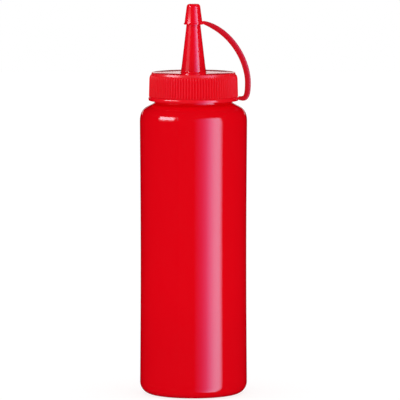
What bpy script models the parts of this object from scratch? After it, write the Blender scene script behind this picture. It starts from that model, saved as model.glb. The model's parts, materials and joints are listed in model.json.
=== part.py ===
"""A tall round squeeze bottle: solid body, ribbed screw cap with a tapered spout, tip cap on a strap.

Units are metres. The bottle's axis is Z, it stands on z = 0, and the strap arches over towards +X.
"""
import math

import bmesh
import bpy
from mathutils import Matrix, Vector

MM = 0.001

# Bottle
BODY_RADIUS = 35.3 * MM
WAIST_DEPTH = 0.43 * MM
HEEL_RADIUS = 7.8 * MM
SHOULDER_START = 180.0 * MM
SHOULDER_PULL = 5.5 * MM
SHOULDER_BREAK_RADIUS = 30.4 * MM
SHOULDER_BREAK_HEIGHT = 189.9 * MM
SHOULDER_SLOPE = math.radians(27)
SLOPE_PULL = 3.6 * MM
NECK_RADIUS = 25.5 * MM
NECK_BLEND = 1.5 * MM

# Screw cap
FIT_GAP = 0.3 * MM
SKIRT_BOTTOM = 196.7 * MM
SKIRT_RADIUS = 29.35 * MM
SKIRT_DRAFT = 0.3 * MM
RIB_COUNT = 96
RIB_DEPTH = 0.55 * MM
RIB_SHOULDER = 207.4 * MM
RIB_SHOULDER_WIDTH = 1.15 * MM
RIM_FOOT = 210.9 * MM
RIM_FOOT_RADIUS = 27.8 * MM
RIM_RADIUS = 27.5 * MM
RIM_ROUNDING = 0.2 * MM
CAP_TOP = 212.4 * MM
CAP_THICKNESS = 2.0 * MM

# Spout
SPOUT_BASE_RADIUS = 8.27 * MM
SPOUT_FILLET = 0.8 * MM
SPOUT_TAPER = 0.1169
SPOUT_TIP = 255.2 * MM

# Tip cap
TIP_CAP_BOTTOM = 244.0 * MM
TIP_CAP_TOP = 257.5 * MM
LIP_RADIUS = 6.35 * MM
LIP_HEIGHT = 0.9 * MM
TIP_CAP_BASE_RADIUS = 5.9 * MM
TIP_CAP_END_RADIUS = 4.5 * MM
TIP_CAP_ROUNDING = 1.9 * MM

# Neck ring, whose outer wall bulges
RING_BOTTOM = 194.0 * MM
RING_TOP = SKIRT_BOTTOM - FIT_GAP
RING_RADIUS = 29.6 * MM
RING_BULGE_RADIUS = 2.4 * MM
RING_BULGE_HEIGHT = 195.1 * MM

# Strap: two smooth curves that meet where it stands upright beside the screw cap
STRAP_WIDTH = 3.8 * MM
STRAP_THICKNESS = 3.9 * MM
STRAP_CORNER = 0.5
HINGE_THICKNESS = 1.7 * MM
HINGE_LENGTH = 6.5 * MM
HINGE_END = 5.2 * MM
HINGE_REACH = 7.1 * MM
HINGE_RISE = 0.2 * MM
ARCH_LEAD = 18.3 * MM
ARCH_DROP = 5.8 * MM
ARCH_PULL = 14.2 * MM
UPRIGHT_REACH = 35.8 * MM
UPRIGHT_HEIGHT = 205.5 * MM
BEND_PULL = 12.0 * MM
BEND_REACH = 33.0 * MM
ROOT_REACH = 29.9 * MM
ROOT_HEIGHT = 195.4 * MM
ROOT_THICKNESS = 2.4 * MM
ROOT_TUCK = 29.4 * MM
ROOT_END = 27.5 * MM
ROOT_END_THICKNESS = 1.5 * MM

# Facets
BODY_STEPS = 64
SPOUT_STEPS = 40
WAIST_ROWS = 8
ARC_ROWS = 5
SHOULDER_ROWS = 7
CROWN_ROWS = 4
BULGE_ROWS = 4
FILLET_ROWS = 3
ARCH_STATIONS = 14
BEND_STATIONS = 9

RED = (0.74, 0.004, 0.010, 1.0)


def clear_objects():
    for thing in list(bpy.data.objects):
        bpy.data.objects.remove(thing)


def red_plastic(name, roughness):
    material = bpy.data.materials.new(name)
    material.use_nodes = True
    shader = material.node_tree.nodes["Principled BSDF"]
    shader.inputs["Base Color"].default_value = RED
    shader.inputs["Roughness"].default_value = roughness
    shader.inputs["Metallic"].default_value = 0.0
    return material


def add_object(name, bm, material=None):
    """Turn a bmesh into a named object, or into a hidden helper when it has no material."""
    bmesh.ops.recalc_face_normals(bm, faces=bm.faces)
    mesh = bpy.data.meshes.new(name)
    bm.to_mesh(mesh)
    bm.free()
    mesh.shade_smooth()
    mesh.set_sharp_from_angle(angle=math.radians(30))
    thing = bpy.data.objects.new(name, mesh)
    bpy.context.collection.objects.link(thing)
    if material:
        mesh.materials.append(material)
    else:
        thing.hide_render = True
        thing.display_type = "WIRE"
    return thing


def join_by_union(thing, helper):
    union = thing.modifiers.new("join " + helper.name, "BOOLEAN")
    union.operation = "UNION"
    union.solver = "EXACT"
    union.object = helper


def turned(outline, steps, closed=False):
    """Spin an outline of (radius, height) points once round the Z axis."""
    bm = bmesh.new()
    verts = [bm.verts.new((radius, 0.0, height)) for radius, height in outline]
    edges = [bm.edges.new(pair) for pair in zip(verts, verts[1:])]
    if closed:
        edges.append(bm.edges.new((verts[-1], verts[0])))
    bmesh.ops.spin(bm, geom=verts + edges, cent=(0, 0, 0), axis=(0, 0, 1),
                   angle=math.tau, steps=steps, use_merge=True)
    bmesh.ops.remove_doubles(bm, verts=bm.verts, dist=0.001 * MM)
    return bm


def arc(centre, radii, start, end, rows):
    """Points (radius, height) along an elliptical arc, from the start angle to the end angle."""
    angles = [start + (end - start) * row / rows for row in range(rows + 1)]
    return [(centre[0] + radii[0] * math.cos(angle), centre[1] + radii[1] * math.sin(angle))
            for angle in angles]


def bezier(controls, share):
    """The point at that share of the way along a cubic curve with four control points."""
    weights = [(1 - share) ** 3, 3 * share * (1 - share) ** 2, 3 * share ** 2 * (1 - share), share ** 3]
    return Vector([sum(weight * control[axis] for weight, control in zip(weights, controls))
                   for axis in range(len(controls[0]))])


def body_wall():
    """The side of the bottle, drawn in slightly towards its middle."""
    points = []
    for row in range(1, WAIST_ROWS):
        share = row / WAIST_ROWS
        height = HEEL_RADIUS + (SHOULDER_START - HEEL_RADIUS) * share
        points.append((BODY_RADIUS - WAIST_DEPTH * math.sin(math.pi * share), height))
    return points


def shoulder():
    """Upright at first, then turning ever faster into the slope that runs up to the neck."""
    controls = [
        (BODY_RADIUS, SHOULDER_START),
        (BODY_RADIUS, SHOULDER_START + SHOULDER_PULL),
        (SHOULDER_BREAK_RADIUS + SLOPE_PULL * math.cos(SHOULDER_SLOPE),
         SHOULDER_BREAK_HEIGHT - SLOPE_PULL * math.sin(SHOULDER_SLOPE)),
        (SHOULDER_BREAK_RADIUS, SHOULDER_BREAK_HEIGHT)]
    return [tuple(bezier(controls, row / SHOULDER_ROWS)) for row in range(SHOULDER_ROWS + 1)]


def neck_foot():
    """The rounding between the shoulder's slope and the upright neck."""
    steepness = math.tan(SHOULDER_SLOPE)
    corner = (NECK_RADIUS, SHOULDER_BREAK_HEIGHT + (SHOULDER_BREAK_RADIUS - NECK_RADIUS) * steepness)
    start = (NECK_RADIUS + NECK_BLEND, corner[1] - NECK_BLEND * steepness)
    controls = [start, corner, corner, (NECK_RADIUS, corner[1] + NECK_BLEND)]
    return [tuple(bezier(controls, row / FILLET_ROWS)) for row in range(FILLET_ROWS + 1)]


def bottle_outline():
    heel = arc((BODY_RADIUS - HEEL_RADIUS, HEEL_RADIUS), (HEEL_RADIUS, HEEL_RADIUS),
               -math.pi / 2, 0, ARC_ROWS)
    neck_top = CAP_TOP - CAP_THICKNESS - FIT_GAP
    neck = neck_foot() + [(NECK_RADIUS, neck_top), (0, neck_top)]
    return [(0, 0)] + heel + body_wall() + shoulder() + neck


def make_bottle(material):
    return add_object("bottle", turned(bottle_outline(), BODY_STEPS), material)


def skirt_outline():
    """The cap as a cup turned upside down, from the middle of its ceiling to the middle of its top."""
    bore = NECK_RADIUS + FIT_GAP
    ceiling = CAP_TOP - CAP_THICKNESS
    edge = arc((SKIRT_RADIUS - SKIRT_DRAFT - RIB_SHOULDER_WIDTH, RIB_SHOULDER),
               (RIB_SHOULDER_WIDTH, RIM_FOOT - RIB_SHOULDER), 0, math.pi / 2, ARC_ROWS)
    rim = [(RIM_FOOT_RADIUS, RIM_FOOT), (RIM_RADIUS, CAP_TOP - RIM_ROUNDING)]
    inside = [(0, ceiling), (bore, ceiling), (bore, SKIRT_BOTTOM)]
    top = [(RIM_RADIUS - RIM_ROUNDING, CAP_TOP), (0, CAP_TOP)]
    return inside + [(SKIRT_RADIUS, SKIRT_BOTTOM)] + edge + rim + top


def cut_ribs(bm):
    """Draw every other column of the skirt's outer wall inwards, which leaves upright ribs."""
    step = math.pi / RIB_COUNT
    valley = SKIRT_RADIUS - SKIRT_DRAFT - RIB_DEPTH
    for vert in bm.verts:
        radius = vert.co.xy.length
        column = round(math.atan2(vert.co.y, vert.co.x) / step)
        if radius > valley and column % 2:
            drawn = valley / radius
            vert.co.x *= drawn
            vert.co.y *= drawn


def spout_radius(height):
    return SPOUT_BASE_RADIUS - SPOUT_TAPER * (height - CAP_TOP)


def spout_outline():
    buried = CAP_TOP - CAP_THICKNESS / 2
    flare = SPOUT_BASE_RADIUS + SPOUT_FILLET
    fillet = arc((flare, CAP_TOP + SPOUT_FILLET), (SPOUT_FILLET, SPOUT_FILLET),
                 -math.pi / 2, -math.pi, FILLET_ROWS)
    foot = [(0, buried), (flare, buried)] + fillet
    return foot + [(spout_radius(SPOUT_TIP), SPOUT_TIP), (0, SPOUT_TIP)]


def make_screw_cap(material):
    skirt = turned(skirt_outline(), 2 * RIB_COUNT)
    cut_ribs(skirt)
    cap = add_object("screw_cap", skirt, material)
    join_by_union(cap, add_object("spout", turned(spout_outline(), SPOUT_STEPS)))
    return cap


def ring_outline():
    bore = NECK_RADIUS + FIT_GAP
    low = math.asin((RING_BOTTOM - RING_BULGE_HEIGHT) / RING_BULGE_RADIUS)
    high = math.asin((RING_TOP - RING_BULGE_HEIGHT) / RING_BULGE_RADIUS)
    wall = arc((RING_RADIUS - RING_BULGE_RADIUS, RING_BULGE_HEIGHT),
               (RING_BULGE_RADIUS, RING_BULGE_RADIUS), low, high, BULGE_ROWS)
    return [(bore, RING_BOTTOM)] + wall + [(bore, RING_TOP)]


def tip_cap_outline():
    """The thimble over the spout's end, from the middle of its top down the outside and up its bore."""
    lip_top = TIP_CAP_BOTTOM + LIP_HEIGHT
    crown = arc((TIP_CAP_END_RADIUS - TIP_CAP_ROUNDING, TIP_CAP_TOP - TIP_CAP_ROUNDING),
                (TIP_CAP_ROUNDING, TIP_CAP_ROUNDING), math.pi / 2, 0, CROWN_ROWS)
    skirt = [(TIP_CAP_BASE_RADIUS, lip_top), (LIP_RADIUS, lip_top), (LIP_RADIUS, TIP_CAP_BOTTOM)]
    bore_top = SPOUT_TIP + FIT_GAP
    bore = [(spout_radius(height) + FIT_GAP, height) for height in (TIP_CAP_BOTTOM, bore_top)]
    return [(0, TIP_CAP_TOP)] + crown + skirt + bore + [(0, bore_top)]


def strap_route():
    """The strap's middle line, from inside the tip cap's wall over the arch to inside the ring."""
    hinge_height = TIP_CAP_BOTTOM + LIP_HEIGHT + HINGE_RISE
    arch = [
        (HINGE_REACH, 0, hinge_height),
        (HINGE_REACH + ARCH_LEAD, 0, hinge_height - ARCH_DROP),
        (UPRIGHT_REACH, 0, UPRIGHT_HEIGHT + ARCH_PULL),
        (UPRIGHT_REACH, 0, UPRIGHT_HEIGHT)]
    bend = [
        (UPRIGHT_REACH, 0, UPRIGHT_HEIGHT),
        (UPRIGHT_REACH, 0, UPRIGHT_HEIGHT - BEND_PULL),
        (BEND_REACH, 0, ROOT_HEIGHT),
        (ROOT_REACH, 0, ROOT_HEIGHT)]
    route = [Vector((HINGE_END, 0, hinge_height + HINGE_RISE))]
    route += [bezier(arch, station / ARCH_STATIONS) for station in range(ARCH_STATIONS + 1)]
    route += [bezier(bend, station / BEND_STATIONS) for station in range(1, BEND_STATIONS + 1)]
    route += [Vector((reach, 0, ROOT_HEIGHT)) for reach in (ROOT_TUCK, ROOT_END)]
    return route


def strap_thickness(point, run):
    """Thin at the hinge beside the tip cap, soon at full thickness, and thinner again at the root."""
    if point.z >= UPRIGHT_HEIGHT:
        return STRAP_THICKNESS - (STRAP_THICKNESS - HINGE_THICKNESS) * math.exp(-run / HINGE_LENGTH)
    if point.x <= ROOT_TUCK:
        return ROOT_END_THICKNESS
    share = (UPRIGHT_REACH - point.x) / (UPRIGHT_REACH - ROOT_REACH)
    return STRAP_THICKNESS - (STRAP_THICKNESS - ROOT_THICKNESS) * share


def strap_frames():
    """A matrix for each station, which maps a unit section onto the strap there."""
    route = strap_route()
    across = Vector((0, 1, 0))
    run = 0.0
    frames = []
    for index, point in enumerate(route):
        before = route[max(index - 1, 0)]
        after = route[min(index + 1, len(route) - 1)]
        run += (point - before).length
        tangent = (after - before).normalized()
        outward = across.cross(tangent)
        rows = (outward * strap_thickness(point, run) / 2, across * STRAP_WIDTH / 2, tangent)
        frames.append(Matrix.Translation(point) @ Matrix(rows).transposed().to_4x4())
    return frames


def strap_mesh():
    """Extrude an eight-sided section from station to station."""
    cut = STRAP_CORNER
    section = [(1, cut), (cut, 1), (-cut, 1), (-1, cut), (-1, -cut), (-cut, -1), (cut, -1), (1, -cut)]
    frames = strap_frames()
    bm = bmesh.new()
    first = bm.faces.new([bm.verts.new(frames[0] @ Vector((u, v, 0))) for u, v in section])
    end = first
    for before, after in zip(frames, frames[1:]):
        grown = bmesh.ops.extrude_face_region(bm, geom=[end])["geom"]
        verts = [item for item in grown if isinstance(item, bmesh.types.BMVert)]
        bmesh.ops.transform(bm, matrix=after @ before.inverted(), verts=verts)
        if end is not first:
            bmesh.ops.delete(bm, geom=[end], context="FACES_ONLY")
        end = next(item for item in grown if isinstance(item, bmesh.types.BMFace))
    return bm


def make_tip_cap_strap(material):
    moulding = add_object("tip_cap_strap", turned(ring_outline(), BODY_STEPS, closed=True), material)
    join_by_union(moulding, add_object("strap", strap_mesh()))
    join_by_union(moulding, add_object("tip_cap", turned(tip_cap_outline(), SPOUT_STEPS)))
    return moulding


def main():
    clear_objects()
    make_bottle(red_plastic("bottle red", 0.28))
    make_screw_cap(red_plastic("cap red", 0.32))
    make_tip_cap_strap(red_plastic("strap red", 0.36))


main()
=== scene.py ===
"""Looks of the squeeze bottle: three glossy red mouldings, a white studio and the camera.

Lengths are metres, in the frame of the loaded model: the bottle's axis is Z and it stands on z = 0.
"""
import json
import math

import bmesh
import bpy
from mathutils import Matrix, Quaternion, Vector


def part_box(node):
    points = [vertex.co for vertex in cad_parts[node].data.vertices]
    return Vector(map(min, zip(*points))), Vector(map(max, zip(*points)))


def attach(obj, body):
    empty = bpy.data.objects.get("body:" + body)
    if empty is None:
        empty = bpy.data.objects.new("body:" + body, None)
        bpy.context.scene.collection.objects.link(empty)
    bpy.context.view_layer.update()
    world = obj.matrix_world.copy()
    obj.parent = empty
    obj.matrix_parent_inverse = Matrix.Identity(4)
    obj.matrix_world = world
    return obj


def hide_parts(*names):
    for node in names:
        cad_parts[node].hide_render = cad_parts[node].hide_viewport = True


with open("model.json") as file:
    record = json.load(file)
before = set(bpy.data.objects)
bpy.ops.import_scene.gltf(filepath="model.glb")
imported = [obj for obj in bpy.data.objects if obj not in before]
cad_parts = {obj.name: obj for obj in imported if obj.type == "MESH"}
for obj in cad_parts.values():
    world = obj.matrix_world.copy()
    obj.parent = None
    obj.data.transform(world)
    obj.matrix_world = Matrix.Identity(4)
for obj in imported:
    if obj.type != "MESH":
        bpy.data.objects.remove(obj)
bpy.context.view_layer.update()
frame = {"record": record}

bl_info = {
    "name": "Squeeze Bottle",
    "version": (1, 0, 0),
    "blender": (4, 5, 0),
    "location": "3D View > Sidebar > Bottle",
    "description": "Builds a glossy squeeze bottle with a ribbed screw cap and a tip cap on a strap",
    "category": "Add Mesh",
}

MM = 0.001
BOTTLE_LOW, BOTTLE_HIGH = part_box("bottle")
CAP_LOW, CAP_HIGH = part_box("screw_cap")
STRAP_LOW, STRAP_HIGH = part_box("tip_cap_strap")
BASE_POINT = Vector(frame["record"]["mounts"][0]["pos_m"])
MERGE = 0.001 * MM
CAP_JOIN = 1.5
SPOUT_JOIN = 1.3


def length(label, words, default):
    return bpy.props.FloatProperty(name=label, description=words, default=default, unit="LENGTH",
                                   precision=5)


def angle(label, words, degrees):
    return bpy.props.FloatProperty(name=label, description=words, default=math.radians(degrees),
                                   subtype="ANGLE")


def share(label, words, default):
    return bpy.props.FloatProperty(name=label, description=words, default=default, min=0.0, max=1.0,
                                   subtype="FACTOR")


def number(label, words, default):
    return bpy.props.FloatProperty(name=label, description=words, default=default)


def count(label, words, default):
    return bpy.props.IntProperty(name=label, description=words, default=default, min=1)


def colour(label, words, default):
    return bpy.props.FloatVectorProperty(name=label, description=words, default=default, size=3,
                                         min=0.0, max=1.0, subtype="COLOR")


class BottleShape(bpy.types.PropertyGroup):
    """Sizes of the blow-moulded body."""

    radius: length("Body radius", "Half the width of the body at its heel", BOTTLE_HIGH.x)
    waist: length("Waist", "How far the side is drawn in halfway up", 0.43 * MM)
    heel: length("Heel radius", "Rounding between the side and the base", 7.8 * MM)
    shoulder_start: length("Shoulder start", "Height where the side begins to turn in", 180.0 * MM)
    shoulder_pull: length("Shoulder pull", "How long the shoulder stays upright", 5.5 * MM)
    break_radius: length("Break radius", "Radius where the slope to the neck begins", 30.4 * MM)
    break_height: length("Break height", "Height where the slope to the neck begins", 189.9 * MM)
    slope: angle("Slope", "Slope of the shoulder beside the neck", 27.0)
    slope_pull: length("Slope pull", "How far the slope reaches into the shoulder", 3.6 * MM)
    neck_radius: length("Neck radius", "Radius of the plain neck", 25.5 * MM)
    neck_blend: length("Neck blend", "Rounding between the slope and the neck", 1.5 * MM)
    foot_radius: length("Foot radius", "Radius inside which the base is dished", 23.0 * MM)
    dish: length("Dish", "Depth of the dished base", 1.2 * MM)
    seam_angle: angle("Seam angle", "Direction of the parting line, from the front", -16.4)
    seam_width: length("Seam width", "Width of the parting line", 0.5 * MM)
    seam_height: length("Seam height", "How far the parting line stands proud", 0.04 * MM)


class CapShape(bpy.types.PropertyGroup):
    """Sizes of the screw cap and its spout."""

    skirt_radius: length("Skirt radius", "Outer radius at the skirt's lower edge", CAP_HIGH.x)
    draft: length("Draft", "How much narrower the skirt is where the ribs turn in", 0.3 * MM)
    skirt_bottom: length("Skirt bottom", "Height of the skirt's lower edge", CAP_LOW.z)
    skirt_lip: length("Skirt lip", "Rounding of the skirt's lower edge", 0.06 * MM)
    rib_shoulder: length("Rib shoulder", "Height where the ribs begin to turn in", 207.4 * MM)
    shoulder_width: length("Shoulder width", "How far the ribs turn in", 1.15 * MM)
    rim_foot: length("Rim foot", "Height where the ribs end and the plain rim begins", 210.9 * MM)
    rim_foot_radius: length("Rim foot radius", "Radius of the plain rim at its foot", 27.8 * MM)
    rim_radius: length("Rim radius", "Radius of the plain rim at the top", 27.5 * MM)
    rim_rounding: length("Rim rounding", "Rounding between the rim and the flat top", 0.2 * MM)
    top: length("Top", "Height of the flat top", 212.4 * MM)
    thickness: length("Thickness", "Thickness of the flat top", 2.0 * MM)
    bore: length("Bore", "Inner radius of the skirt", 25.8 * MM)
    ribs: count("Ribs", "Number of upright ribs round the skirt", 96)
    rib_depth: length("Rib depth", "Depth of the grooves between the ribs", 0.90 * MM)
    spout_radius: length("Spout radius", "Radius of the spout at its foot", 8.27 * MM)
    spout_taper: number("Spout taper", "Radius lost for each unit of height", 0.1169)
    spout_fillet: length("Spout fillet", "Rounding at the spout's foot", 0.8 * MM)
    spout_tip: length("Spout tip", "Height of the spout's end", CAP_HIGH.z)


class StrapShape(bpy.types.PropertyGroup):
    """Sizes of the neck ring, the strap and the tip cap, which are one moulding."""

    ring_bottom: length("Ring bottom", "Height of the ring's underside", 194.0 * MM)
    ring_top: length("Ring top", "Height of the ring's upper side", CAP_LOW.z - 0.02 * MM)
    ring_radius: length("Ring radius", "Outer radius of the ring", -STRAP_LOW.x)
    ring_edge: length("Ring edge", "Rounding of the ring's two outer edges", 0.08 * MM)
    bulge_radius: length("Bulge radius", "Roundness of the ring's outer wall", 2.4 * MM)
    bulge_height: length("Bulge height", "Height where the ring is widest", 195.1 * MM)
    bore: length("Bore", "Inner radius of the ring", 25.8 * MM)
    width: length("Strap width", "Width of the strap, across its arch", 3.8 * MM)
    thickness: length("Strap thickness", "Thickness of the strap, away from its hinge", 3.9 * MM)
    hinge_thickness: length("Hinge thickness", "Thickness beside the tip cap", 1.7 * MM)
    hinge_length: length("Hinge length", "Length over which the strap grows thick", 6.5 * MM)
    hinge_root: length("Hinge root", "Distance of the strap's end in the tip cap from the axis",
                       5.2 * MM)
    hinge_rise: length("Hinge rise", "Height of the strap's middle above the tip cap's lip", 0.2 * MM)
    hinge_reach: length("Hinge reach", "Distance of the arch's start from the axis", 7.1 * MM)
    arch_lead: length("Arch lead", "How far the arch runs outwards before it turns", 18.3 * MM)
    arch_drop: length("Arch drop", "How far the arch falls over its lead", 5.8 * MM)
    arch_pull: length("Arch pull", "How long the arch stands upright", 14.2 * MM)
    upright_reach: length("Upright reach", "Distance of the strap from the axis", 35.8 * MM)
    upright_height: length("Upright height", "Height where the arch meets the bend", 205.5 * MM)
    bend_pull: length("Bend pull", "How long the bend stands upright", 12.0 * MM)
    bend_reach: length("Bend reach", "Distance of the bend's foot from the axis", 33.0 * MM)
    root_reach: length("Root reach", "Distance from the axis of the bend's end", 29.9 * MM)
    root_height: length("Root height", "Height of the strap where it meets the ring", 195.4 * MM)
    root_tuck: length("Root tuck", "Distance from the axis where the root is thin enough for the ring",
                      29.4 * MM)
    root_end: length("Root end", "Distance from the axis of the strap's end in the ring", 27.5 * MM)
    root_thickness: length("Root thickness", "Thickness where the strap meets the ring", 2.4 * MM)
    root_end_thickness: length("Root end thickness", "Thickness inside the ring", 1.5 * MM)
    tip_bottom: length("Tip cap bottom", "Height of the tip cap's lower edge", 244.0 * MM)
    tip_top: length("Tip cap top", "Height of the tip cap's crown", STRAP_HIGH.z)
    lip_radius: length("Lip radius", "Radius of the tip cap's lip", 6.35 * MM)
    lip_height: length("Lip height", "Height of the tip cap's lip", 0.9 * MM)
    lip_edge: length("Lip edge", "Rounding of the lip's edges", 0.2 * MM)
    tip_gap: length("Tip cap gap", "Gap between the tip cap and the spout", 0.3 * MM)
    tip_base_radius: length("Tip cap base", "Radius of the tip cap above its lip", 5.9 * MM)
    tip_end_radius: length("Tip cap end", "Radius of the tip cap below its crown", 4.5 * MM)
    tip_rounding: length("Tip cap rounding", "Rounding of the crown", 1.9 * MM)


class PlasticLooks(bpy.types.PropertyGroup):
    """Colours and gloss of the three mouldings."""

    body: colour("Body", "Colour of the blow-moulded body", (0.765, 0.0006, 0.0060))
    # Painted shade: the body's red is painted darker over its lowest part.
    base: colour("Base", "Colour of the body's lowest fifth", (0.725, 0.0006, 0.0060))
    # Painted shade: the heel's red is painted darker still, for the shade where the floor's light
    # reaches it less.
    heel: colour("Heel", "Colour of the rounding at the base", (0.580, 0.0006, 0.0070))
    cap: colour("Cap", "Colour of the screw cap, spout, tip cap and ring", (0.850, 0.0026, 0.0120))
    # Painted shade: the strap's red is darker than the cap's, standing in for the dimmer light on the
    # narrow strap.
    strap: colour("Strap", "Colour of the strap", (0.620, 0.0030, 0.0120))
    # Painted light: a lighter red painted on the slope about the neck. It stands in for light that
    # passes through the plastic into the shade under the cap.
    neck: colour("Neck", "Colour where more light comes through the plastic, about the neck",
                 (1.000, 0.0010, 0.0065))
    body_gloss: share("Body roughness", "Roughness of the body", 0.07)
    cap_gloss: share("Cap roughness", "Roughness of the cap's top and spout", 0.09)
    rim_gloss: share("Rim roughness", "Roughness of the cap's plain rim", 0.27)
    rib_gloss: share("Rib roughness", "Roughness of the ribbed skirt", 0.34)
    rib_shine: share("Rib shine", "Strength of the gloss on the ribbed skirt", 0.11)
    strap_gloss: share("Strap roughness", "Roughness of the strap", 0.13)
    tip_gloss: share("Tip roughness", "Roughness of the tip cap", 0.08)
    ring_gloss: share("Ring roughness", "Roughness of the ring", 0.13)


class StudioSetup(bpy.types.PropertyGroup):
    """The camera and the lights."""

    lens: number("Lens", "Focal length in millimetres on a 36 mm sensor", 446.9)
    distance: length("Distance", "Distance of the camera from the bottle's axis", 3.258)
    height: length("Camera height", "Height of the camera", 0.4423)
    aim_height: length("Aim height", "Height on the axis that the camera looks at", 0.1281)
    aside: length("Aside", "How far the camera stands to the right of the axis", 4.3 * MM)
    sky: number("Sky", "Brightness of the soft light from all round", 0.70)
    front_light: number("Front light", "How much brighter it is from the front", 0.26)
    top_light: number("Top light", "How much brighter it is from above", 0.39)


def settings():
    return bpy.context.scene.squeeze_bottle


class SqueezeBottle(bpy.types.PropertyGroup):
    """Everything that a user would change."""

    bottle: bpy.props.PointerProperty(type=BottleShape)
    cap: bpy.props.PointerProperty(type=CapShape)
    strap: bpy.props.PointerProperty(type=StrapShape)
    looks: bpy.props.PointerProperty(type=PlasticLooks)
    studio: bpy.props.PointerProperty(type=StudioSetup)


def add_node(tree, kind, options=None, values=None):
    """Add a node. Options set its own properties first, and values fill or link its sockets."""
    node = tree.nodes.new(kind)
    for name, option in (options or {}).items():
        setattr(node, name, option)
    for name, value in (values or {}).items():
        if isinstance(value, Wire):
            tree.links.new(value.socket, node.inputs[name])
        else:
            node.inputs[name].default_value = value
    return node


class Wire:
    """An output socket. Arithmetic on it adds Math nodes to its tree."""

    def __init__(self, tree, socket):
        self.tree = tree
        self.socket = socket

    def math(self, operation, *values):
        node = add_node(self.tree, "ShaderNodeMath", {"operation": operation}, dict(enumerate(values)))
        return Wire(self.tree, node.outputs[0])

    def root(self):
        return self.math("SQRT", self)

    def __add__(self, other):
        return self.math("ADD", self, other)

    def __sub__(self, other):
        return self.math("SUBTRACT", self, other)

    def __rsub__(self, other):
        return self.math("SUBTRACT", other, self)

    def __mul__(self, other):
        return self.math("MULTIPLY", self, other)

    __radd__ = __add__
    __rmul__ = __mul__


def noise(tree, place, size, detail=2.0, stretch=(1.0, 1.0, 1.0)):
    """A noise of a feature size in metres, from -1 to 1, on the piece's own coordinates."""
    mapping = add_node(tree, "ShaderNodeMapping", None,
                       {"Vector": place, "Scale": [factor / size for factor in stretch]})
    pattern = add_node(tree, "ShaderNodeTexNoise", None,
                       {"Vector": Wire(tree, mapping.outputs[0]), "Scale": 1.0, "Detail": detail})
    return Wire(tree, pattern.outputs["Fac"]) * 2.0 - 1.0


def blended(tree, amount, first, second, way="MIX"):
    """Mix two colours, each a wire or three numbers, by an amount from 0 to 1."""
    sides = {name: side if isinstance(side, Wire) else (*side, 1.0)
             for name, side in (("A", first), ("B", second))}
    mix = add_node(tree, "ShaderNodeMix", {"data_type": "RGBA", "blend_type": way},
                   {"Factor": amount, **sides})
    return Wire(tree, mix.outputs["Result"])


def band(tree, value, start, end):
    """From 0 where the value is at its start to 1 where it is at its end."""
    ease = add_node(tree, "ShaderNodeMapRange", {"interpolation_type": "SMOOTHSTEP"},
                    {"Value": value, "From Min": start, "From Max": end})
    return Wire(tree, ease.outputs["Result"])


class Zone:
    """A stretch of a moulding with a colour and roughness of its own.

    Its mask is a function of the node tree, the radius and the height, from 0 to 1. On the body the
    zones' colours are painted light about the neck and painted shade at the base and heel.
    """

    def __init__(self, mask, hue, roughness):
        self.mask = mask
        self.hue = hue
        self.roughness = roughness


def moulded_plastic(name, hue, roughness, ripple, grain, zones=(), shine=0.5):
    """Glossy coloured plastic with a faintly uneven surface, as a mould leaves it."""
    material = bpy.data.materials.new(name)
    material.use_nodes = True
    tree = material.node_tree
    shader = tree.nodes["Principled BSDF"]
    place = Wire(tree, add_node(tree, "ShaderNodeTexCoord").outputs["Object"])
    cloud = noise(tree, place, 42 * MM, 3.0)
    fine = noise(tree, place, 0.8 * MM, 3.0)
    scuff = noise(tree, place, 5 * MM, 4.0, (1.0, 1.0, 0.25))
    flow = noise(tree, place, 17 * MM, 1.0, (1.0, 1.0, 0.4))
    axis = add_node(tree, "ShaderNodeSeparateXYZ", None, {0: place})
    aside, deep, height = (Wire(tree, axis.outputs[letter]) for letter in "XYZ")
    radius = (aside * aside + deep * deep).root()
    gloss = scuff * 0.02 + fine * 0.012 + roughness
    # Zone colours mix in here: on the body, painted light about the neck and painted shade at the base
    # and heel.
    for zone in zones:
        mask = zone.mask(tree, radius, height)
        hue = blended(tree, mask, hue, zone.hue)
        gloss = gloss + mask * (zone.roughness - roughness)
    tone = (cloud * 0.7 + scuff * 0.3) * 0.5 + 0.5
    shade = blended(tree, tone, (0.97, 0.97, 0.97), (1.0, 1.0, 1.0))
    # The hue, with any painted light or shade from the zones, times a faint random mottle.
    mottled_hue = blended(tree, 1.0, hue, shade, "MULTIPLY")
    tree.links.new(mottled_hue.socket, shader.inputs["Base Color"])
    tree.links.new(gloss.socket, shader.inputs["Roughness"])
    relief = flow * ripple + fine * grain
    bump = add_node(tree, "ShaderNodeBump", None, {"Height": relief, "Distance": 1.0, "Strength": 1.0})
    tree.links.new(bump.outputs["Normal"], shader.inputs["Normal"])
    shader.inputs["IOR"].default_value = 1.5
    shader.inputs["Specular IOR Level"].default_value = shine
    return material


def chain(bm, points, closed=False):
    """Wire edges through (radius, height) points in the XZ plane."""
    verts = [bm.verts.new((point[0], 0.0, point[1])) for point in points]
    edges = [bm.edges.new(pair) for pair in zip(verts, verts[1:])]
    if closed:
        edges.append(bm.edges.new((verts[-1], verts[0])))
    return verts + edges


def turned(points, steps, closed=False):
    """Spin an outline once round the bottle's axis."""
    bm = bmesh.new()
    bmesh.ops.spin(bm, geom=chain(bm, points, closed), cent=(0, 0, 0), axis=(0, 0, 1),
                   angle=math.tau, steps=steps, use_merge=True)
    bmesh.ops.remove_doubles(bm, verts=bm.verts, dist=MERGE)
    bmesh.ops.recalc_face_normals(bm, faces=bm.faces)
    return bm


def arc(centre, radii, start, end, rows):
    """Points (radius, height) along an elliptical arc, from the start angle to the end angle."""
    angles = [start + (end - start) * row / rows for row in range(rows + 1)]
    return [(centre[0] + radii[0] * math.cos(turn), centre[1] + radii[1] * math.sin(turn))
            for turn in angles]


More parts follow.
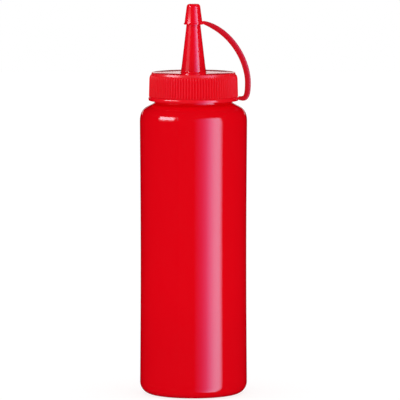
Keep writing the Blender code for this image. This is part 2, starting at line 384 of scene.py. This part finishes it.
def bezier(controls, way):
    """The point at that share of the way along a cubic curve with four control points."""
    weights = [(1 - way) ** 3, 3 * way * (1 - way) ** 2, 3 * way ** 2 * (1 - way), way ** 3]
    return Vector([sum(weight * control[axis] for weight, control in zip(weights, controls))
                   for axis in range(len(controls[0]))])


def curve(controls, rows):
    return [tuple(bezier(controls, row / rows)) for row in range(rows + 1)]


def new_object(name, bm):
    mesh = bpy.data.meshes.new(name)
    bm.to_mesh(mesh)
    bm.free()
    thing = bpy.data.objects.new(name, mesh)
    bpy.context.scene.collection.objects.link(thing)
    return thing


def finish_piece(thing, node, material, sharp=35.0):
    """Shade a piece, and let it stand for its solid on the one body."""
    thing.data.shade_smooth()
    thing.data.set_sharp_from_angle(angle=math.radians(sharp))
    thing.data.materials.clear()
    thing.data.materials.append(material)
    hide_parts(node)
    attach(thing, "root")


def fused(name, meshes):
    """One object that is the union of several closed meshes."""
    parts = [new_object(f"{name}_{index}", bm) for index, bm in enumerate(meshes)]
    for helper in parts[1:]:
        union = parts[0].modifiers.new(helper.name, "BOOLEAN")
        union.operation = "UNION"
        union.solver = "EXACT"
        union.object = helper
    seen = parts[0].evaluated_get(bpy.context.evaluated_depsgraph_get())
    mesh = bpy.data.meshes.new_from_object(seen)
    for helper in parts:
        bpy.data.objects.remove(helper)
    mesh.name = name
    thing = bpy.data.objects.new(name, mesh)
    bpy.context.scene.collection.objects.link(thing)
    return thing


def base_outline(shape):
    """From the middle of the dished base to the flat foot."""
    rise = 0.4 * shape.foot_radius
    dish = [
        (0.0, BASE_POINT.z + shape.dish),
        (rise, BASE_POINT.z + shape.dish),
        (shape.foot_radius - rise, BASE_POINT.z),
        (shape.foot_radius, BASE_POINT.z)]
    return curve(dish, 8)


def body_outline(shape):
    heel = arc((shape.radius - shape.heel, shape.heel), (shape.heel, shape.heel), -math.pi / 2, 0, 12)
    rows = 16
    side = []
    for row in range(1, rows):
        way = row / rows
        height = shape.heel + (shape.shoulder_start - shape.heel) * way
        side.append((shape.radius - shape.waist * math.sin(math.pi * way), height))
    shoulder = curve([
        (shape.radius, shape.shoulder_start),
        (shape.radius, shape.shoulder_start + shape.shoulder_pull),
        (shape.break_radius + shape.slope_pull * math.cos(shape.slope),
         shape.break_height - shape.slope_pull * math.sin(shape.slope)),
        (shape.break_radius, shape.break_height)], 18)
    return heel + side + shoulder


def neck_outline(shape, top):
    """The slope's last stretch, a small rounding, and the plain neck up to its closed top."""
    foot = shape.break_height + (shape.break_radius - shape.neck_radius) * math.tan(shape.slope)
    blend = shape.neck_blend
    rounding = curve([
        (shape.neck_radius + blend, foot - blend * math.tan(shape.slope)),
        (shape.neck_radius, foot),
        (shape.neck_radius, foot),
        (shape.neck_radius, foot + blend)], 5)
    return rounding + [(shape.neck_radius, top), (0.0, top)]


def raise_seam(bm, shape, steps):
    """Raise the mould's parting line, a low ridge in an upright plane through the axis."""
    half_step = math.pi / steps
    across = Vector((math.cos(half_step), math.sin(half_step), 0.0))
    for offset in (-shape.seam_width / 2, 0.0, shape.seam_width / 2):
        geom = bm.verts[:] + bm.edges[:] + bm.faces[:]
        bmesh.ops.bisect_plane(bm, geom=geom, dist=MERGE, plane_co=across * offset,
                               plane_no=across)
    bm.normal_update()
    for vert in bm.verts:
        on_side = vert.co.xy.length > shape.neck_radius * 0.9 and vert.co.z > BASE_POINT.z + 1 * MM
        if on_side and abs(vert.co.dot(across)) < 2 * MERGE:
            vert.co += vert.normal * shape.seam_height
    turn = Matrix.Rotation(shape.seam_angle - half_step, 3, "Z")
    bmesh.ops.rotate(bm, cent=(0, 0, 0), matrix=turn, verts=bm.verts)


class SQUEEZE_OT_bottle(bpy.types.Operator):
    """Build the blow-moulded body"""

    bl_idname = "squeeze.bottle"
    bl_label = "Bottle"

    def execute(self, context):
        shape, looks = settings().bottle, settings().looks
        steps = 192
        outline = base_outline(shape) + body_outline(shape) + neck_outline(shape, BOTTLE_HIGH.z)
        body = turned(outline, steps)
        raise_seam(body, shape, steps)
        thing = new_object("bottle_body", body)

        # Painted light: the slope beside the neck is painted a lighter red to lift the shade under the
        # cap.
        def slope(tree, radius, height):
            return band(tree, height, shape.break_height - 1.3 * MM, shape.break_height + 3.5 * MM)

        # Painted shade: the body's red darkens towards the base, from 75 mm down to 25 mm.
        def base(tree, radius, height):
            return band(tree, height, BASE_POINT.z + 75 * MM, BASE_POINT.z + 25 * MM)

        # Painted shade: the rounding at the base is painted darker still, over its lowest few
        # millimetres.
        def heel(tree, radius, height):
            return band(tree, height, BASE_POINT.z + 3.6 * MM, BASE_POINT.z + 0.6 * MM)

        zones = [Zone(slope, looks.neck, looks.body_gloss), Zone(base, looks.base, looks.body_gloss),
                 Zone(heel, looks.heel, looks.body_gloss)]
        red = moulded_plastic("blow moulded red", looks.body, looks.body_gloss, 0.02 * MM, 0.0006 * MM,
                              zones)
        finish_piece(thing, "bottle", red)
        return {"FINISHED"}


def skirt_outline(shape):
    """From the middle of the cap's ceiling down its bore, up its side and in over the top."""
    ceiling = shape.top - shape.thickness
    lip = shape.skirt_lip
    wall = shape.skirt_radius - shape.draft
    inside = [(0.0, ceiling), (shape.bore, ceiling), (shape.bore, shape.skirt_bottom)]
    foot = arc((shape.skirt_radius - lip, shape.skirt_bottom + lip), (lip, lip), -math.pi / 2, 0, 3)
    shoulder = arc((wall - shape.shoulder_width, shape.rib_shoulder),
                   (shape.shoulder_width, shape.rim_foot - shape.rib_shoulder), 0, math.pi / 2, 16)
    soft = shape.rim_rounding
    rim = [(shape.rim_foot_radius, shape.rim_foot)]
    rim += arc((shape.rim_radius - soft, shape.top - soft), (soft, soft), 0, math.pi / 2, 4)
    return inside + foot + shoulder + rim + [(shape.spout_radius * CAP_JOIN, shape.top)]


def rib_groove(shape, turn):
    """How deep the grooves are in that direction: rounded ribs with narrow grooves between them."""
    wave = 0.5 - 0.5 * math.cos(shape.ribs * turn)
    return shape.rib_depth * wave ** 1.5


def press_ribs(bm, shape):
    """Press the grooves into the skirt's outer wall. They run out at the foot of the plain rim."""
    for vert in bm.verts:
        radius = vert.co.xy.length
        if radius > shape.rim_foot_radius:
            groove = rib_groove(shape, math.atan2(vert.co.y, vert.co.x))
            pressed = max(radius - groove, shape.rim_foot_radius)
            vert.co.x *= pressed / radius
            vert.co.y *= pressed / radius


def spout_radius(shape, height):
    return shape.spout_radius - shape.spout_taper * (height - shape.top)


def spout_outline(shape):
    """From the flat top beside the spout up to the middle of its end."""
    flare = shape.spout_radius + shape.spout_fillet
    fillet = arc((flare, shape.top + shape.spout_fillet), (shape.spout_fillet, shape.spout_fillet),
                 -math.pi / 2, -math.pi, 8)
    foot = shape.top + shape.spout_fillet
    rows = 12
    side = []
    for row in range(1, rows + 1):
        height = foot + (shape.spout_tip - foot) * row / rows
        side.append((spout_radius(shape, height), height))
    return [(shape.spout_radius * SPOUT_JOIN, shape.top)] + fillet + side + [(0.0, shape.spout_tip)]


def open_loop(bm, radius):
    """The boundary edges of a mesh on a circle of that radius."""
    return [edge for edge in bm.edges
            if edge.is_boundary and abs(edge.verts[0].co.xy.length - radius) < 0.05 * MM]


class SQUEEZE_OT_screw_cap(bpy.types.Operator):
    """Build the ribbed screw cap with its spout"""

    bl_idname = "squeeze.screw_cap"
    bl_label = "Screw cap and spout"

    def execute(self, context):
        shape, looks = settings().cap, settings().looks
        cap = turned(skirt_outline(shape), shape.ribs * 8)
        press_ribs(cap, shape)
        spout = turned(spout_outline(shape), shape.ribs)
        carrier = bpy.data.meshes.new("spout")
        spout.to_mesh(carrier)
        spout.free()
        cap.from_mesh(carrier)
        bpy.data.meshes.remove(carrier)
        bmesh.ops.bridge_loops(cap, edges=open_loop(cap, shape.spout_radius * CAP_JOIN)
                               + open_loop(cap, shape.spout_radius * SPOUT_JOIN))
        bmesh.ops.recalc_face_normals(cap, faces=cap.faces)
        thing = new_object("screw_cap_body", cap)

        def rim(tree, radius, height):
            return band(tree, radius, shape.rim_radius - 0.6 * MM, shape.rim_radius - 0.2 * MM)

        red = moulded_plastic("moulded cap red", looks.cap, looks.cap_gloss, 0.006 * MM, 0.0008 * MM,
                              [Zone(rim, looks.cap, looks.rim_gloss)])
        finish_piece(thing, "screw_cap", red, 40.0)
        thing.data.materials.append(moulded_plastic("ribbed cap red", looks.cap, looks.rib_gloss,
                                                    0.006 * MM, 0.0030 * MM, shine=looks.rib_shine))
        for face in thing.data.polygons:
            radius = face.center.xy.length
            face.material_index = int(radius > shape.rim_foot_radius and face.center.z < shape.rim_foot)
        return {"FINISHED"}


def ring_outline(shape):
    """The ring's section: a bulging outer wall with softened corners."""
    soft = shape.ring_edge
    inner = shape.bulge_radius - soft
    middle = shape.ring_radius - shape.bulge_radius
    low = math.asin((shape.ring_bottom + soft - shape.bulge_height) / inner)
    high = math.asin((shape.ring_top - soft - shape.bulge_height) / inner)
    lower = arc((middle + inner * math.cos(low), shape.ring_bottom + soft), (soft, soft),
                -math.pi / 2, low, 4)
    wall = arc((middle, shape.bulge_height), (shape.bulge_radius, shape.bulge_radius), low, high, 10)
    upper = arc((middle + inner * math.cos(high), shape.ring_top - soft), (soft, soft),
                high, math.pi / 2, 4)
    bore = [(shape.bore, shape.ring_top), (shape.bore, shape.ring_bottom)]
    return lower + wall[1:-1] + upper + bore


def tip_cap_outline(shape, cap):
    """From the middle of the crown down the outside, round the lip and up the bore."""
    rounding, soft, gap = shape.tip_rounding, shape.lip_edge, shape.tip_gap
    lip_top = shape.tip_bottom + shape.lip_height
    crown = arc((shape.tip_end_radius - rounding, shape.tip_top - rounding), (rounding, rounding),
                math.pi / 2, 0, 10)
    waist = arc((shape.tip_base_radius + soft, lip_top + soft), (soft, soft), -math.pi, -math.pi / 2, 4)
    lip = arc((shape.lip_radius - soft, lip_top - soft), (soft, soft), math.pi / 2, 0, 4)
    foot = arc((shape.lip_radius - soft, shape.tip_bottom + soft), (soft, soft), 0, -math.pi / 2, 4)
    bore_top = cap.spout_tip + gap
    bore = [(spout_radius(cap, height) + gap, height) for height in (shape.tip_bottom, bore_top)]
    return [(0.0, shape.tip_top)] + crown + waist + lip + foot + bore + [(0.0, bore_top)]


def strap_route(shape):
    """The strap's middle line, from inside the tip cap's wall, over the arch, to inside the ring."""
    hinge = shape.tip_bottom + shape.lip_height + shape.hinge_rise
    root = shape.root_height
    reach, upright = shape.upright_reach, shape.upright_height
    arch = [
        (shape.hinge_reach, 0.0, hinge),
        (shape.hinge_reach + shape.arch_lead, 0.0, hinge - shape.arch_drop),
        (reach, 0.0, upright + shape.arch_pull),
        (reach, 0.0, upright)]
    bend = [
        (reach, 0.0, upright),
        (reach, 0.0, upright - shape.bend_pull),
        (shape.bend_reach, 0.0, root),
        (shape.root_reach, 0.0, root)]
    inside_tip = (shape.hinge_root, 0.0, hinge + shape.hinge_rise)
    inside_ring = [(shape.root_tuck, 0.0, root), (shape.root_end, 0.0, root)]
    route = [inside_tip] + curve(arch, 48) + curve(bend, 30)[1:] + inside_ring
    return [Vector(point) for point in route]


def strap_thickness(shape, point, run):
    """Thin at the hinge beside the tip cap, soon at full thickness, and thinner again at the root."""
    if point.z >= shape.upright_height:
        thin = shape.thickness - shape.hinge_thickness
        return shape.thickness - thin * math.exp(-run / shape.hinge_length)
    if point.x <= shape.root_tuck:
        return shape.root_end_thickness
    way = (shape.upright_reach - point.x) / (shape.upright_reach - shape.root_reach)
    return shape.thickness - (shape.thickness - shape.root_thickness) * way


def strap_frames(shape):
    """A matrix for each station, which maps a unit section onto the strap there."""
    route = strap_route(shape)
    across = Vector((0.0, 1.0, 0.0))
    run = 0.0
    frames = []
    for index, point in enumerate(route):
        before = route[max(index - 1, 0)]
        after = route[min(index + 1, len(route) - 1)]
        run += (point - before).length
        tangent = (after - before).normalized()
        outward = across.cross(tangent)
        thick = strap_thickness(shape, point, run)
        rows = (outward * thick / 2, across * shape.width / 2, tangent)
        frames.append(Matrix.Translation(point) @ Matrix(rows).transposed().to_4x4())
    return frames


def strap_section(corner=0.42):
    """A square from -1 to 1 whose corners are rounded by a share of its half width."""
    flat = 1.0 - corner
    points = []
    for side_u, side_v, start in ((1, 1, 0), (-1, 1, 90), (-1, -1, 180), (1, -1, 270)):
        for step in range(5):
            turn = math.radians(start + 22.5 * step)
            points.append(Vector((side_u * flat + corner * math.cos(turn),
                                  side_v * flat + corner * math.sin(turn), 0.0)))
    return points


def swept_strap(shape):
    """Extrude the section from station to station."""
    frames = strap_frames(shape)
    bm = bmesh.new()
    first = bm.faces.new([bm.verts.new(frames[0] @ point) for point in strap_section()])
    end = first
    for before, after in zip(frames, frames[1:]):
        grown = bmesh.ops.extrude_face_region(bm, geom=[end])["geom"]
        verts = [item for item in grown if isinstance(item, bmesh.types.BMVert)]
        bmesh.ops.transform(bm, matrix=after @ before.inverted(), verts=verts)
        if end is not first:
            bmesh.ops.delete(bm, geom=[end], context="FACES_ONLY")
        end = next(item for item in grown if isinstance(item, bmesh.types.BMFace))
    bmesh.ops.recalc_face_normals(bm, faces=bm.faces)
    return bm


class SQUEEZE_OT_strap(bpy.types.Operator):
    """Build the ring, strap and tip cap as one moulding"""

    bl_idname = "squeeze.strap"
    bl_label = "Ring, strap and tip cap"

    def execute(self, context):
        shape, looks = settings().strap, settings().looks
        meshes = [
            turned(ring_outline(shape), 160, closed=True),
            swept_strap(shape),
            turned(tip_cap_outline(shape, settings().cap), 96)]
        thing = fused("strap_moulding", meshes)

        def tip(tree, radius, height):
            return band(tree, radius, shape.lip_radius + 3 * MM, shape.lip_radius)

        def ring(tree, radius, height):
            return (band(tree, height, shape.ring_top + 3 * MM, shape.ring_top)
                    * band(tree, radius, shape.ring_radius + 2 * MM, shape.ring_radius))

        # The strap's own red is painted darker as painted shade. The tip cap and ring zones keep the
        # cap's red, with their own roughness.
        zones = [Zone(tip, looks.cap, looks.tip_gloss), Zone(ring, looks.cap, looks.ring_gloss)]
        red = moulded_plastic("strap red", looks.strap, looks.strap_gloss, 0.006 * MM, 0.0010 * MM,
                              zones)
        finish_piece(thing, "tip_cap_strap", red, 40.0)
        return {"FINISHED"}


def white_floor():
    """A wide white sheet that stays white under the bottle, apart from a faint contact shadow."""
    bm = bmesh.new()
    bmesh.ops.create_grid(bm, x_segments=1, y_segments=1, size=3.0)
    floor = new_object("floor", bm)
    material = bpy.data.materials.new("white floor")
    material.use_nodes = True
    shader = material.node_tree.nodes["Principled BSDF"]
    shader.inputs["Base Color"].default_value = (0.24, 0.24, 0.24, 1.0)
    shader.inputs["Roughness"].default_value = 1.0
    shader.inputs["Specular IOR Level"].default_value = 0.0
    shader.inputs["Emission Color"].default_value = (1.0, 1.0, 1.0, 1.0)
    shader.inputs["Emission Strength"].default_value = 0.80
    floor.data.materials.append(material)
    floor.visible_glossy = False


def white_sky(studio):
    """White for the camera, and soft light that is stronger from the front and above."""
    world = bpy.data.worlds.new("white sky")
    world.use_nodes = True
    world.cycles_visibility.glossy = False
    tree = world.node_tree
    camera = Wire(tree, add_node(tree, "ShaderNodeLightPath").outputs["Is Camera Ray"])
    way = Wire(tree, add_node(tree, "ShaderNodeTexCoord").outputs["Generated"])
    split = add_node(tree, "ShaderNodeSeparateXYZ", None, {0: way})
    behind, above = (Wire(tree, split.outputs[axis]) for axis in "YZ")
    soft = above * studio.top_light - behind * studio.front_light + studio.sky
    sky = tree.nodes["Background"]
    sky.inputs["Color"].default_value = (1.0, 1.0, 1.0, 1.0)
    tree.links.new(((1.0 - camera) * soft + camera).socket, sky.inputs["Strength"])
    bpy.context.scene.world = world


def fade(tree, place, stops):
    """A colour that runs through its stops, pairs of place and colour, across a panel of light."""
    ramp = add_node(tree, "ShaderNodeValToRGB", None, {"Fac": place})
    marks = ramp.color_ramp.elements
    while len(marks) < len(stops):
        marks.new(0.5)
    for mark, (spot, tint) in zip(marks, stops):
        mark.position = spot
        mark.color = (*tint, 1.0)
    return Wire(tree, ramp.outputs["Color"])


def greys(*stops):
    """Stops of a plain level from 0 to 1."""
    return [(spot, (level, level, level)) for spot, level in stops]


def softbox(name, centre, toward, size, glow, across, upward, roll=0.0):
    """A panel of light that shows only in the gloss, faded by stops across it and up it."""
    light = bpy.data.lights.new(name, "AREA")
    light.shape = "RECTANGLE"
    light.size, light.size_y = size
    brightest = max(glow)
    light.energy = brightest * size[0] * size[1] * math.pi
    light.color = [part / brightest for part in glow]
    light.use_nodes = True
    tree = light.node_tree
    spot = Wire(tree, add_node(tree, "ShaderNodeNewGeometry").outputs["Parametric"])
    split = add_node(tree, "ShaderNodeSeparateXYZ", None, {0: spot})
    emission = tree.nodes["Emission"].inputs
    tree.links.new(fade(tree, Wire(tree, split.outputs["X"]), across).socket, emission["Color"])
    tree.links.new(fade(tree, Wire(tree, split.outputs["Y"]), upward).socket, emission["Strength"])
    thing = bpy.data.objects.new(name, light)
    bpy.context.scene.collection.objects.link(thing)
    thing.location = centre
    facing = (Vector(centre) - Vector(toward)).to_track_quat("Z", "Y")
    thing.rotation_euler = (facing @ Quaternion((0, 0, 1), math.radians(roll))).to_euler()
    thing.visible_camera = False
    thing.visible_diffuse = False
    thing.visible_transmission = False
    return thing


def around(azimuth, distance, height):
    """A place seen from the bottle's axis, at an angle to the right of the camera's direction."""
    turn = math.radians(azimuth)
    return Vector((distance * math.sin(turn), -distance * math.cos(turn), height))


def tall_strip():
    """The tall panel on the right, bluish, which fades out towards the camera."""
    azimuth, distance, height = 33.0, 1.2, -0.375
    across = [
        (0.0, (0.0, 0.0, 0.0)),
        (0.157, (0.06, 0.032, 0.078)),
        (0.292, (0.15, 0.077, 0.178)),
        (0.42, (0.33, 0.19, 0.35)),
        (0.546, (0.66, 0.50, 0.70)),
        (0.68, (0.93, 0.91, 0.96))]
    across += greys((0.82, 1.0), (0.865, 0.92), (0.91, 0.70), (0.95, 0.42), (1.0, 0.15))
    upward = greys((0.0, 0.1), (0.06, 1.0), (0.91, 1.0), (1.0, 0.2))
    softbox("tall strip, right", around(azimuth, distance, height), around(azimuth, 0.0, height),
            (1.5, 2.45), (2.7, 4.9, 7.2), across, upward)


def window():
    """The small bright panel high on the left, weak at its foot, where the spout reflects it."""
    across = greys((0.0, 0.0), (0.15, 1.0), (0.85, 1.0), (1.0, 0.0))
    upward = greys((0.0, 0.06), (0.14, 0.08), (0.25, 0.25), (0.31, 1.0), (0.8, 1.0), (1.0, 0.3))
    softbox("window, left", around(-62.0, 3.0, 1.194), around(-62.0, 0.0, 0.19), (2.38, 1.32),
            (11.6, 11.1, 12.8), across, upward, roll=5.0)


def backdrop():
    """A low even panel behind the bottle, which the cap's flat top reflects."""
    even = greys((0.0, 1.0), (1.0, 1.0))
    softbox("backdrop, behind", around(180.0, 1.6, 0.33), around(180.0, 0.0, 0.33), (1.6, 0.10),
            (1.0, 1.0, 1.0), even, even)


def photo_camera(studio):
    """The camera at the photo's height and distance, with a long lens."""
    camera = bpy.data.cameras.new("camera")
    camera.sensor_width = 36.0
    camera.lens = studio.lens
    camera.clip_end = 20.0
    eye = bpy.data.objects.new("camera", camera)
    bpy.context.scene.collection.objects.link(eye)
    eye.location = (studio.aside, -studio.distance, studio.height)
    aim = Vector((studio.aside, 0.0, studio.aim_height))
    eye.rotation_euler = (eye.location - aim).to_track_quat("Z", "Y").to_euler()
    bpy.context.scene.camera = eye


class SQUEEZE_OT_stage(bpy.types.Operator):
    """Lay the floor, set the lights and aim the camera"""

    bl_idname = "squeeze.stage"
    bl_label = "Floor, lights and camera"

    def execute(self, context):
        studio = settings().studio
        white_floor()
        white_sky(studio)
        tall_strip()
        window()
        backdrop()
        photo_camera(studio)
        context.scene.view_settings.view_transform = "Standard"
        context.scene.view_settings.look = "None"
        return {"FINISHED"}


class SQUEEZE_PT_panel(bpy.types.Panel):
    """Lists the pieces and their sizes"""

    bl_idname = "SQUEEZE_PT_panel"
    bl_label = "Squeeze Bottle"
    bl_space_type = "VIEW_3D"
    bl_region_type = "UI"
    bl_category = "Bottle"

    def draw(self, context):
        for operator in PIECES:
            self.layout.operator(operator.bl_idname)
        sizes = settings()
        for group in (sizes.bottle, sizes.cap, sizes.strap, sizes.looks, sizes.studio):
            box = self.layout.box()
            for name in group.bl_rna.properties.keys():
                if name not in ("rna_type", "name"):
                    box.prop(group, name)


PIECES = (SQUEEZE_OT_bottle, SQUEEZE_OT_screw_cap, SQUEEZE_OT_strap, SQUEEZE_OT_stage)
GROUPS = (BottleShape, CapShape, StrapShape, PlasticLooks, StudioSetup, SqueezeBottle)
CLASSES = GROUPS + PIECES + (SQUEEZE_PT_panel,)


def register():
    for kind in CLASSES:
        bpy.utils.register_class(kind)
    bpy.types.Scene.squeeze_bottle = bpy.props.PointerProperty(type=SqueezeBottle)


def unregister():
    del bpy.types.Scene.squeeze_bottle
    for kind in reversed(CLASSES):
        bpy.utils.unregister_class(kind)


def main():
    register()
    bpy.ops.squeeze.bottle()
    bpy.ops.squeeze.screw_cap()
    bpy.ops.squeeze.strap()
    bpy.ops.squeeze.stage()


if __name__ == "__main__":
    main()
